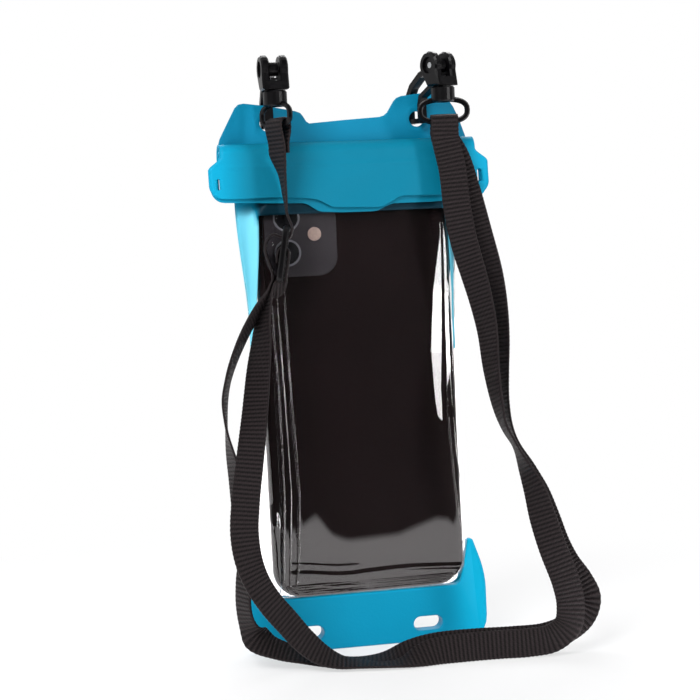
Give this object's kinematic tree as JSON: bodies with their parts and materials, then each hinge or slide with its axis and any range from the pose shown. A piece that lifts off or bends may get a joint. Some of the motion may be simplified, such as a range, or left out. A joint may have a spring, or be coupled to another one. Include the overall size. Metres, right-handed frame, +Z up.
{
  "type": "waterproof phone pouch",
  "caption": "Clear waterproof phone pouch with blue welded borders, a fold-over closure and a neck strap on two snap clips",
  "frame": {"origin": "middle of the underside of the bottom band", "axes": "+X to the viewer's right, +Z up, and the front of the pouch faces -Y"},
  "size_m": [0.1323, 0.0587, 0.2166],
  "materials": {
    "clear_film": "glossy",
    "blue_sheet": "satin",
    "blue_band": "satin",
    "closure_fabric": "matte",
    "phone_back": "glossy",
    "dark_plastic": "satin",
    "steel": "satin",
    "webbing": "matte"
  },
  "bodies": {
    "pouch": {"bottom_band": "blue_band", "front_film": "clear_film", "back_film": "clear_film", "front_border": "blue_sheet", "back_border": "blue_sheet", "hang_panel": "blue_sheet", "zip_rib_strip": "blue_sheet", "zip_groove_strip": "blue_sheet", "hook_strip": "closure_fabric", "loop_strip": "closure_fabric", "phone": "phone_back", "clip_body_left": "dark_plastic", "clip_pin_left": "steel", "clip_spring_left": "steel", "clip_body_right": "dark_plastic", "clip_pin_right": "steel", "clip_spring_right": "steel", "strap_slider": "dark_plastic", "strap_long": "webbing", "strap_return": "webbing"},
    "jaw_left": {"clip_jaw_left": "dark_plastic"},
    "jaw_right": {"clip_jaw_right": "dark_plastic"},
    "ring_left": {"swivel_ring_left": "dark_plastic"},
    "ring_right": {"swivel_ring_right": "dark_plastic"}
  },
  "joints": [
    {"name": "jaw_hinge_left", "type": "hinge", "parent": "pouch", "child": "jaw_left", "pos_m": [-0.0275, -0.01094, 0.2116], "axis": [0.9994, 0.0349, 0], "range_deg": [0, 40], "stiffness_Nm_per_rad": 0.01},
    {"name": "jaw_hinge_right", "type": "hinge", "parent": "pouch", "child": "jaw_right", "pos_m": [0.03378, -0.00972, 0.2116], "axis": [0.9135, 0.4067, 0], "range_deg": [0, 40], "stiffness_Nm_per_rad": 0.01},
    {"name": "ring_swivel_left", "type": "hinge", "parent": "pouch", "child": "ring_left", "pos_m": [-0.02743, -0.01314, 0.2], "axis": [0, 0, 1], "continuous": true, "deforming": ["strap_long"]},
    {"name": "ring_swivel_right", "type": "hinge", "parent": "pouch", "child": "ring_right", "pos_m": [0.03467, -0.01173, 0.2], "axis": [0, 0, 1], "continuous": true, "deforming": ["strap_long", "strap_return"]}
  ]
}
